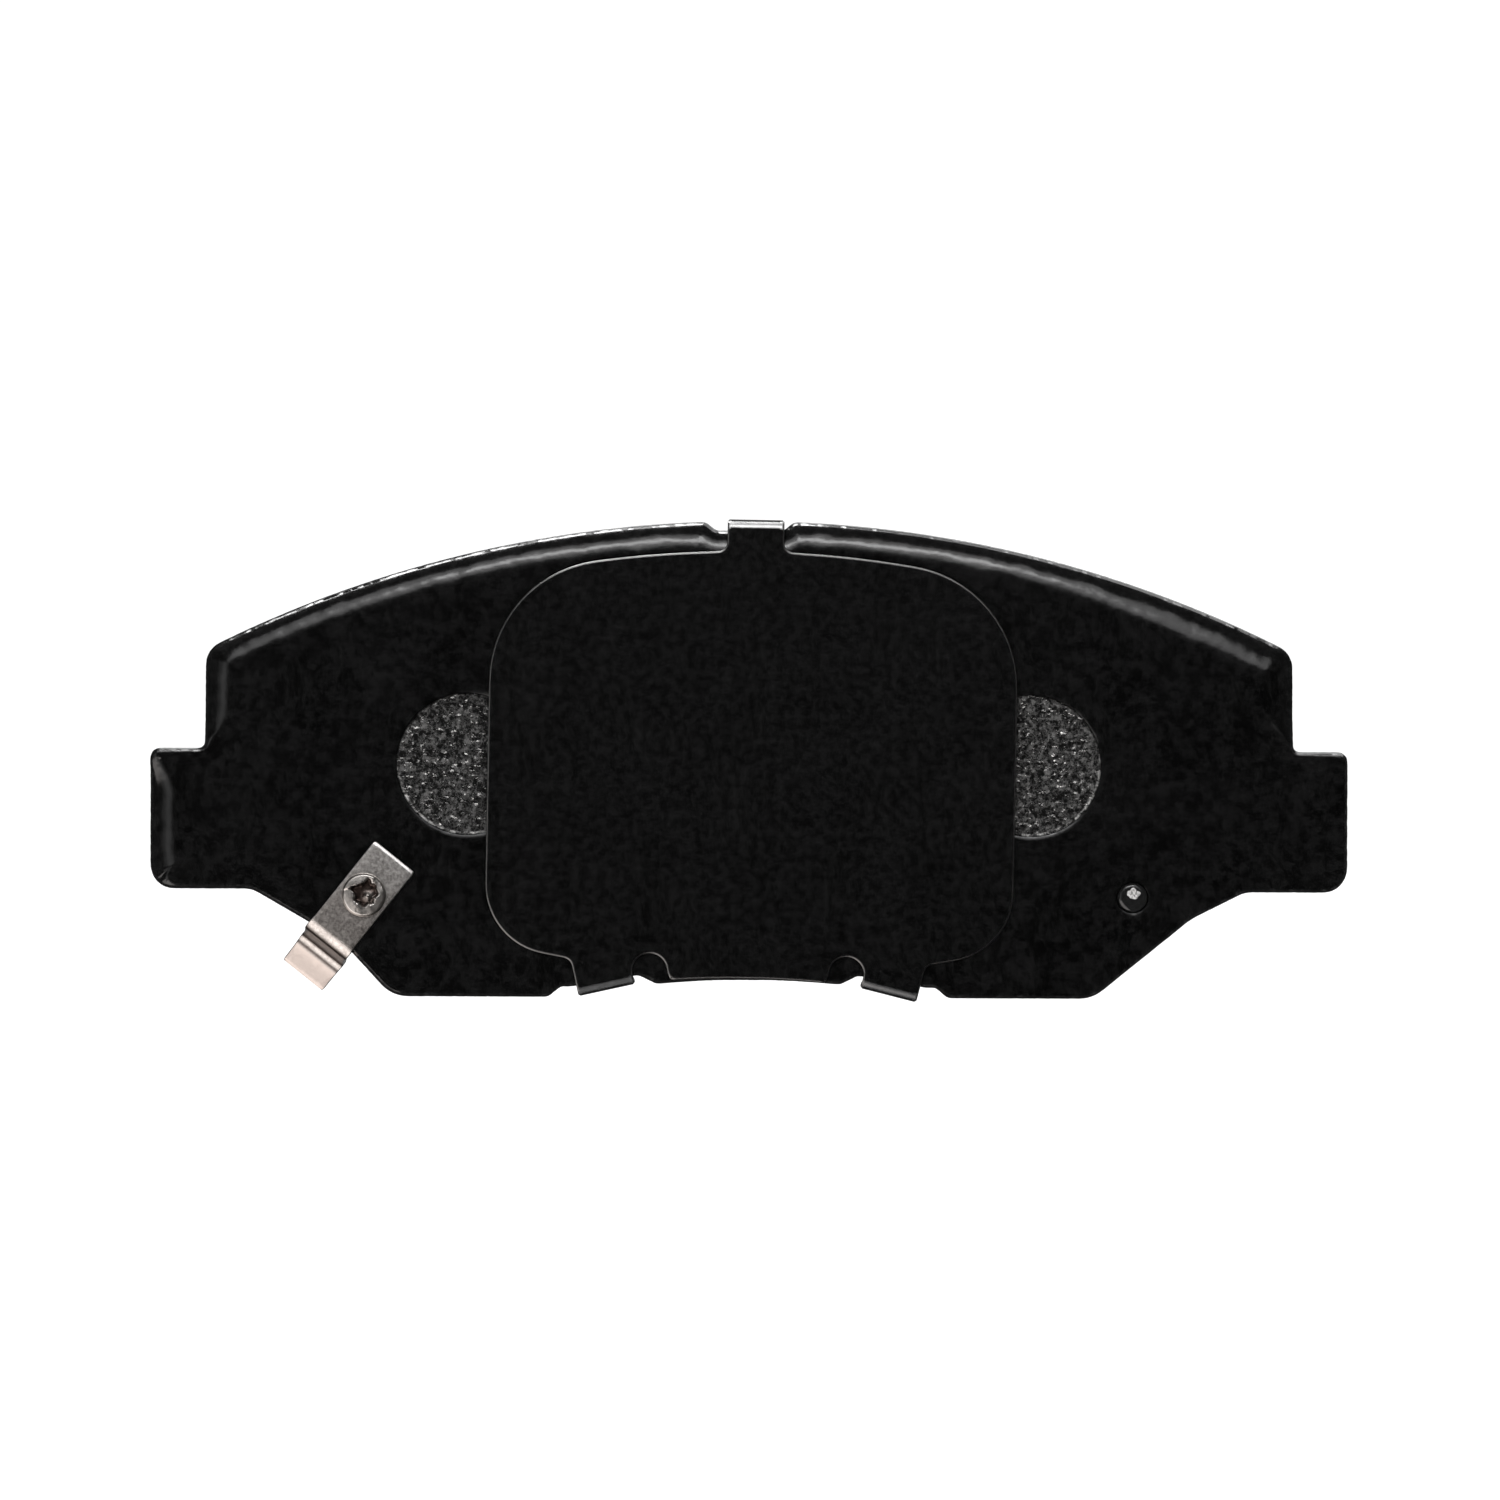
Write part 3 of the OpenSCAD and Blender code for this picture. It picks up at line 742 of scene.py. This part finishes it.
def strip_line():
    """The strip's middle line as (distance from the rivet along the plate, y), and half its thickness and
    half its width."""
    rivet, along, across = indicator_frame()
    points, _ = merged_triangles("wear_indicator_reed")
    side = (points @ np.array(across)).max()
    half_width = side - rivet @ across
    loop = flat_loops("wear_indicator_reed", across, side)[0]
    path = np.column_stack([(loop - np.array(rivet)) @ np.array(along), loop[:, 1]])
    root = np.lexsort((path[:, 1], path[:, 0].round(2)))[0]
    path = np.roll(path, -root, 0)
    if abs(path[1, 0] - path[0, 0]) < 0.02:
        path = np.vstack([path[:1], path[:0:-1]])
    tip = np.argmax(path[:, 0] + np.roll(path, -1, 0)[:, 0])
    upper, lower = path[:tip + 1], path[tip + 1:]
    run = np.diff(lower, axis=0)
    middle = []
    for p in upper:
        share = np.clip(((p - lower[:-1]) * run).sum(1) / (run * run).sum(1), 0, 1)
        feet = lower[:-1] + share[:, None] * run
        middle.append((p + feet[np.linalg.norm(p - feet, axis=1).argmin()]) / 2)
    half_thick = np.linalg.norm(upper[0] - path[-1]) / 2
    points, _ = merged_triangles("wear_indicator_foot")
    tail = ((points - np.array(rivet)) @ np.array(along)).min()
    return np.vstack([[[tail, middle[0][1]]], middle]), half_thick, half_width


def even_line(line, step):
    """A line in even steps of about that length."""
    run = np.concatenate([[0], np.cumsum(np.linalg.norm(np.diff(line, axis=0), axis=1))])
    at = np.linspace(0, run[-1], int(run[-1] / step) + 1)
    return np.column_stack([np.interp(at, run, line[:, k]) for k in (0, 1)])


def eased_line(line):
    """The strip's line in even steps, with its bends eased, and most of all the turn into its tip."""
    line = even_line(line, STRIP_STEP)
    for turn in range(TIP_EASE):
        eased = line.copy()
        eased[1:-1] = line[1:-1] / 2 + (line[2:] + line[:-2]) / 4
        at_tip = line[:, 0] > line[-1, 0] - TIP_RUN - TIP_TURN
        line = np.where(at_tip[:, None] | (turn < 2), eased, line)
    return line


def strip_section(half_width, half_thick):
    """The strip's cross-section with rounded edges, as (across, up) once round."""
    wide, thick = half_width - EDGE_ROUND, half_thick - EDGE_ROUND
    quarter = np.radians(np.linspace(0, 90, 5))
    corner = EDGE_ROUND * np.column_stack([np.sin(quarter), np.cos(quarter)])
    flat = wide * np.linspace(-1, 1, 9)[1:-1]
    shape = [(s, half_thick) for s in flat]
    shape += [(wide + v, thick + n) for v, n in corner]
    shape += [(wide + v, -thick - n) for v, n in corner[::-1]]
    shape += [(s, -half_thick) for s in flat[::-1]]
    shape += [(-wide - v, -thick - n) for v, n in corner]
    shape += [(-wide - v, thick + n) for v, n in corner[::-1]]
    return shape


def wear_indicator():
    rivet, along, across = (np.array(v) for v in indicator_frame())
    line, half_thick, half_width = strip_line()
    line = eased_line(line)
    past_bends = line[:, 0] - (line[-1, 0] - TIP_RUN)
    # where painted shade goes, in the crease before the tip
    crease = 0.85 * np.exp(-((past_bends + 0.1) / 0.22) ** 2)
    past_bends = np.maximum(past_bends, 0)
    line[:, 1] += past_bends * math.tan(math.radians(TIP_TILT))
    ahead = np.gradient(line, axis=0)
    ahead /= np.linalg.norm(ahead, axis=1)[:, None]
    up = np.column_stack([ahead[:, 1], -ahead[:, 0]])
    steep = np.clip((ahead[:, 1] - 0.72) / 0.12, 0, 1)
    angle = np.unwrap(np.arctan2(ahead[:, 1], ahead[:, 0]))
    bend = np.abs(np.gradient(angle)) / STRIP_STEP
    bulge = 0.16 * np.convolve(np.clip(bend, 0, 1), np.hanning(13) / 6, "same")
    fall = np.zeros(len(line))
    fall[:len(END_FALL)] = EDGE_ROUND * np.array(END_FALL)
    fall += fall[::-1]
    points = []
    for centre, normal, more, less in zip(line, up, bulge, fall):
        for v, n in strip_section(half_width + more - less, half_thick - less):
            u, y = centre + normal * n
            points.append(rivet + along * u + across * v + np.array([0, y, 0]))
    size = len(points) // len(line)
    # wall: where painted shade goes, on the steep wall and in the crease; tail: where the painted highlight
    # goes
    marks = {"wall": np.maximum(steep, crease), "tip": np.clip(past_bends * 3, 0, 1),
             "tail": np.clip((3 - line[:, 0]) / 11, 0, 1)}
    marks = {key: np.repeat(values, size) for key, values in marks.items()}
    faces = tube(len(line), size)
    faces += [list(range(size)), list(range(len(points) - size, len(points)))]
    strip = piece("wear_indicator_strip", points, faces, spring_steel(), None, "spring_steel",
                  ["wear_indicator_foot", "wear_indicator_reed"], marks, sharp=60)
    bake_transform(strip)


# ---------------------------------------------------------------- rivet

CRIMP_R = 2.75       # outer radius of the crimped end
COLLAR_W = 0.32      # how wide its rounded rim is
HOLE_R = 1.9         # radius of the shank in the plate and the strip
# the ragged hollow's edge, anticlockwise round the rivet: (degrees, radius)
STAR = [(4, 1.9), (27, 1.85), (42, 2.05), (56, 1.8), (71, 2.3), (86, 1.65), (103, 1.4), (130, 1.5), (153, 1.95),
        (166, 1.25), (190, 1.1), (212, 1.35), (238, 1.15), (268, 1.5), (296, 1.25), (319, 1.6), (342, 1.35)]


def crimp_height(x, z, r, star_r, crimp_h):
    """The crimped end's height and its share of painted shade: a low collar folded round a ragged hollow, with
    a stub inside.
    """
    dome = crimp_h * (1 - 0.2 * (r / CRIMP_R) ** 2)
    rim = max(0.0, r - (CRIMP_R - COLLAR_W)) / COLLAR_W
    collar = dome - 0.55 * crimp_h * (1 - math.sqrt(max(0.0, 1 - rim**2)))
    flap = 0.1 if -0.34 * x + 0.94 * z > 1.42 else 0.0
    lump = 0.05 * noise.noise(Vector((x, 3, z)) * 0.8) + 0.012 * noise.noise(Vector((x, 9, z)) * 4)
    fall = 1 / (1 + math.exp(min(40, (r - star_r * 0.94) / 0.045)))
    stub = math.exp(-((x - 0.5) ** 2 + (z + 0.15) ** 2) / 0.3)
    floor = 0.1 + 0.35 * stub + 0.05 * noise.noise(Vector((x, 0, z)) * 1.8)
    top = collar + lump - (0.12 - flap) * (rim < 1)
    # the second value is the share of painted shade in the hollow, less on the stub
    return top * (1 - fall) + floor * fall, fall * (1 - 0.55 * stub)


def rivet():
    low, high = box_mm("rivet")
    foot_y = box_mm("wear_indicator_foot")[0].y
    plate_front = box_mm("backing_plate")[1].y
    centre = np.array([(low.x + high.x) / 2, 0, (low.z + high.z) / 2])
    head_r = (high.x - low.x) / 2
    crimp_h = foot_y - low.y
    sectors = 120
    angles = np.arange(sectors) * 2 * math.pi / sectors
    star_angles, star_radii = np.transpose(STAR)
    star = np.interp(angles, np.radians(star_angles), star_radii, period=2 * math.pi)
    points = [[0, foot_y - crimp_height(0, 0, 0, 1, crimp_h)[0], 0]]
    # share of painted shade at each point, full in the hollow's middle
    hollow_shade = [1.0]
    for share in np.concatenate([np.linspace(0.12, 0.8, 12), np.linspace(0.83, 1.0, 6)]):
        for angle, star_r in zip(angles, star):
            r = share * CRIMP_R
            x, z = r * math.cos(angle), r * math.sin(angle)
            h, fall = crimp_height(x, z, r, star_r, crimp_h)
            points.append([x, foot_y - min(max(h, 0.04), crimp_h) if share < 1 else foot_y - 0.12, z])
            hollow_shade.append(fall)
    # under the collar, down the shank, and round the head on the other side
    profile = [(CRIMP_R - 0.15, foot_y + 0.02), (HOLE_R, foot_y + 0.1), (HOLE_R, plate_front),
               (head_r - 0.1, plate_front), (head_r, plate_front + 0.12), (head_r - 0.12, plate_front + 0.45),
               (head_r - 0.7, plate_front + 0.85), (head_r - 1.6, high.y - 0.08), (1.0, high.y), (0.3, high.y)]
    for r, y in profile:
        points += [[r * math.cos(a), y, r * math.sin(a)] for a in angles]
        hollow_shade += [0.0] * sectors
    rows = (len(points) - 1) // sectors
    faces = [[0, 1 + k, 1 + (k + 1) % sectors] for k in range(sectors)]
    faces += tube(rows, sectors, 1)
    faces.append([1 + (rows - 1) * sectors + k for k in range(sectors)])
    piece("rivet_crimped", np.array(points) + centre, faces, rivet_steel(), "pad", "rivet_steel", ["rivet"],
          {"hollow_shade": hollow_shade}, sharp=55)


# ---------------------------------------------------------------- lining

NUB_R = 1.93   # radius of the small plug
# round patches that make up the small plug's pale spot on its upper middle: (x, z, radius)
PALE_PATCH_SPOTS = [(-0.35, 0.5, 0.36), (0.1, 0.85, 0.38), (0.3, 0.2, 0.4), (0.7, 0.5, 0.3), (-0.1, 0.1, 0.28)]


def plug_face(name, centre, radius, floor_y, rise, pitch, material, crown=0.0, patch_spots=()):
    """The broken, granular end of a moulded plug, over the CAD plug's plain one. Its last argument lists the
    round patches (x, z, radius) that make up a pale spot."""
    circle = np.radians(np.arange(0, 360, 2 if radius > 4 else 5))
    edge = centre + radius * np.column_stack([np.cos(circle), np.sin(circle)])
    grid = staggered((-radius, -radius), (radius, radius), pitch)
    far = np.linalg.norm(grid, axis=1)
    grid = centre + grid[far < radius - pitch * 0.6]
    flat, tris = net([edge], grid)
    place = np.column_stack([flat[:, 0], np.zeros(len(flat)), flat[:, 1]])
    grains = np.array([noise.voronoi(Vector(p) / 1.3)[0][0] for p in place])
    small = np.array([noise.voronoi(Vector(p) / 0.6 + Vector((7, 3, 1)))[0][0] for p in place])
    height = 0.55 * (1 - grains) + 0.3 * (1 - small) + 0.3 * rough(place, 2.4, 5)
    far = np.linalg.norm(flat - centre, axis=1) / radius
    edge_share = np.clip((1 - far) * radius / 0.3, 0.15, 1)
    height = np.clip(height, 0, 1) * rise * edge_share + crown * (1 - far**6)
    lower = np.clip(0.5 - (flat[:, 1] - centre[1]) / radius, 0, 1)
    top = np.column_stack([flat[:, 0], floor_y - 0.02 - height, flat[:, 1]])
    base = np.column_stack([edge[:, 0], np.full(len(edge), floor_y + 0.3), edge[:, 1]])
    k, count = np.arange(len(edge)), len(top)
    nxt = (k + 1) % len(edge)
    faces = [*tris, *np.column_stack([k, nxt, count + nxt, count + k]), list(range(count, count + len(edge)))]
    # painted highlight: the lower half of the plug's rim, where light from above falls on it
    rim = np.clip((far - 1) * radius / 0.25 + 1.4, 0, 1) * lower
    pale_patch = np.zeros(count)
    for x, z, size in patch_spots:
        reach = size - np.linalg.norm(flat - centre - (x, z), axis=1)
        pale_patch = np.maximum(pale_patch, np.clip(reach / 0.25 + 0.5, 0, 1))
    unmarked = np.zeros(len(base))
    marks = {"rim": np.concatenate([rim, unmarked]), "pale_patch": np.concatenate([pale_patch, unmarked])}
    piece(name, np.vstack([top, base]), faces, material, "pad", "underlayer", attributes=marks, sharp=180)


def lining():
    mix = pressed_mix("pressed_underlayer", 0.0005, 0.095)
    for name, material in (("underlayer", mix), ("adhesive_film", cured_film())):
        frame["nodes"][name].data.materials.clear()
        frame["nodes"][name].data.materials.append(material)
    plug_y = box_mm("underlayer")[0].y
    holes = flat_loops("backing_plate", Y_AXIS, box_mm("backing_plate")[1].y)[1:]
    for number, hole in enumerate(holes[:2]):
        centre = hole[:, [0, 2]].mean(0)
        radius = np.linalg.norm(hole[:, [0, 2]] - centre, axis=1).mean()
        plug_face(f"plug_face_{number + 1}", centre, radius - 0.02, plug_y, rise=0.45, pitch=0.17, material=mix)
    rivet_x = indicator_frame()[0].x
    spare = next(h for h in holes[2:] if abs(h[:, 0].mean() - rivet_x) > 5)
    centre = spare[:, [0, 2]].mean(0)
    plug_face("plug_face_small", centre, NUB_R, plug_y, rise=0.07, pitch=0.12, material=moulded_nub(),
              crown=0.4, patch_spots=PALE_PATCH_SPOTS)


def friction_block():
    low, high = box_mm("friction_block")
    material = pressed_mix("friction_mix", 0.022, 0.085, 1.3)
    cad_points, _ = merged_triangles("friction_block")
    top_edge = cad_points[cad_points[:, 1] > high.y - 0.01]
    slope_x = np.abs(top_edge[:, 0]).max()
    end_x = np.abs(cad_points[:, 0]).max()
    end_y = cad_points[np.abs(cad_points[:, 0]) > end_x - 0.02][:, 1].max()
    slope = (high.y - end_y) / (end_x - slope_x)

    def face_y(flat, gap, which):
        place = np.column_stack([flat[:, 0], 0 * gap, flat[:, 1]])
        plane = high.y - np.maximum(np.abs(flat[:, 0]) - slope_x, 0) * slope
        crumble = 0.25 * np.clip(rough(place, 1.6, 8) - 0.25, 0, 1) * (gap < 0.9)
        return plane - 0.02 - rolled(gap, 0.45, 0.35) - 0.05 * np.abs(rough(place, 0.9, 7)) - crumble

    levels = [0.02, 0.1, 0.2, 0.33, 0.5, 0.8, 1.3]
    wall = [(0.0, 0.08, 0.08), (0.0, 0.3, 0.1), (0.0, 0.6, 0.1), (0.0, 0.9, 0.08), (0.0, 1.0, 0)]
    points, faces = [], []
    for half in flat_loops("friction_block", Y_AXIS, low.y):
        half_points, half_faces = slab([outline(half, 0.5, 1, ease=1)], levels, 1.3, face_y, wall, low.y)
        faces += [[len(points) + k for k in f] for f in half_faces]
        points += list(half_points)
    piece("friction_material", points, faces, material, "pad", "friction", ["friction_block"], sharp=50)


# ---------------------------------------------------------------- studio

# lengths here are in metres
CAMERA_DISTANCE = 0.85
FIELD_WIDTH = 0.188   # of the picture, where the camera aims
AIM = Vector((0.00013, 0.0025, 0.00188))
ROLL = math.radians(0.22)
FLOOR_DROP = 0.09     # from the pad's lowest point to the floor


def camera():
    data = bpy.data.cameras.new("camera")
    data.sensor_width = 36
    data.lens = data.sensor_width * CAMERA_DISTANCE / FIELD_WIDTH
    data.clip_start, data.clip_end = 0.01, 50
    cam = bpy.data.objects.new("camera", data)
    cam.location = AIM + Vector((0, -CAMERA_DISTANCE, 0))
    cam.rotation_mode = "QUATERNION"
    cam.rotation_quaternion = Y_AXIS.to_track_quat("-Z", "Y") @ Matrix.Rotation(ROLL, 3, "Z").to_quaternion()
    bpy.context.scene.collection.objects.link(cam)
    bpy.context.scene.camera = cam


def softbox(name, azimuth, elevation, distance, width, height, radiance, tint=(1, 1, 1), shift=0.0):
    """A rectangular light that faces the pad. Azimuth 0 is at the camera's side, and positive to its right."""
    a, e = math.radians(azimuth), math.radians(elevation)
    back = Vector((math.sin(a) * math.cos(e), -math.cos(a) * math.cos(e), math.sin(e)))
    data = bpy.data.lights.new(name, "AREA")
    data.shape = "RECTANGLE"
    data.size, data.size_y = width, height
    data.energy = radiance * math.pi * width * height
    data.color = tint
    light = bpy.data.objects.new(name, data)
    light.location = back * distance + X_AXIS * shift
    light.rotation_mode = "QUATERNION"
    light.rotation_quaternion = (-back).to_track_quat("-Z", "Y")
    light.visible_camera = False
    bpy.context.scene.collection.objects.link(light)


def world():
    """A white room to the eye, whose reflections are white behind the pad and dark in front of it."""
    made = bpy.data.worlds.new("studio")
    bpy.context.scene.world = made
    made.use_nodes = True
    tree = made.node_tree
    add, link = tree.nodes.new, tree.links.new
    out = tree.nodes["World Output"]
    seen, mirrored, diffuse = tree.nodes["Background"], add("ShaderNodeBackground"), add("ShaderNodeBackground")
    seen.inputs["Color"].default_value = grey(1.0)
    seen.inputs["Strength"].default_value = 1.1
    diffuse.inputs["Color"].default_value = grey(1.0)
    diffuse.inputs["Strength"].default_value = 0.5
    where = add("ShaderNodeSeparateXYZ")
    link(add("ShaderNodeTexCoord").outputs["Generated"], where.inputs[0])
    total = add("ShaderNodeMath")
    total.operation = "ADD"
    ramps = ((-0.75, -0.4, 0.012, 0.07), (0.8, 0.92, 0.0, 0.5))   # two rises along Y, as (from, to, low, high)
    for socket, (start, end, low, high) in zip(total.inputs, ramps):
        part = add("ShaderNodeMapRange")
        for key, value in zip(("From Min", "From Max", "To Min", "To Max"), (start, end, low, high)):
            part.inputs[key].default_value = value
        link(where.outputs["Y"], part.inputs["Value"])
        link(part.outputs[0], socket)
    link(total.outputs[0], mirrored.inputs["Strength"])
    path = add("ShaderNodeLightPath")
    glossy, camera_or_not = add("ShaderNodeMixShader"), add("ShaderNodeMixShader")
    link(path.outputs["Is Glossy Ray"], glossy.inputs[0])
    link(diffuse.outputs[0], glossy.inputs[1])
    link(mirrored.outputs[0], glossy.inputs[2])
    link(path.outputs["Is Camera Ray"], camera_or_not.inputs[0])
    link(glossy.outputs[0], camera_or_not.inputs[1])
    link(seen.outputs[0], camera_or_not.inputs[2])
    link(camera_or_not.outputs[0], out.inputs["Surface"])


def floor():
    """A wide pale floor, well below the pad, as the pad hangs from its ears."""
    mesh = bpy.data.meshes.new("floor")
    z = cad_box[0].z - FLOOR_DROP
    mesh.from_pydata([(-6, -6, z), (6, -6, z), (6, 6, z), (-6, 6, z)], [], [(0, 1, 2, 3)])
    n = Nodes("pale_floor")
    pale = n.mix(n.noise(0.002), grey(0.86), grey(0.9))
    mesh.materials.append(n.set(Base_Color=pale, Roughness=0.9, Emission_Color=pale, Emission_Strength=0.95))
    obj = bpy.data.objects.new("floor", mesh)
    bpy.context.scene.collection.objects.link(obj)
    obj.visible_glossy = False


def studio():
    scene = bpy.context.scene
    scene.view_settings.view_transform = "Standard"
    scene.view_settings.look = "None"
    camera()
    world()
    floor()
    softbox("key", 0, 33, 0.95, 0.85, 0.46, 1.9)
    softbox("key_core", 0, 32, 0.94, 0.42, 0.11, 10.0)
    softbox("overhead_left", 0, 102, 0.8, 0.5, 0.26, 24.0, shift=-0.2)
    softbox("overhead_right", 0, 102, 0.8, 0.4, 0.26, 3.2, shift=0.3)
    softbox("low_left", -42, -40, 0.75, 0.75, 0.75, 2.2, (1, 0.95, 0.92))
    softbox("low_left_far", -106, -50, 0.75, 0.4, 0.4, 0.5, (1, 0.9, 0.84))
    softbox("side_left", -36, -4, 0.9, 0.4, 0.7, 0.3)
    softbox("side_left_core", -33, -4, 0.88, 0.17, 0.6, 0.45)
    softbox("back", 165, 48, 1.0, 0.8, 0.5, 3.0)


backing_plate()
shim()
wear_indicator()
rivet()
lining()
friction_block()
studio()
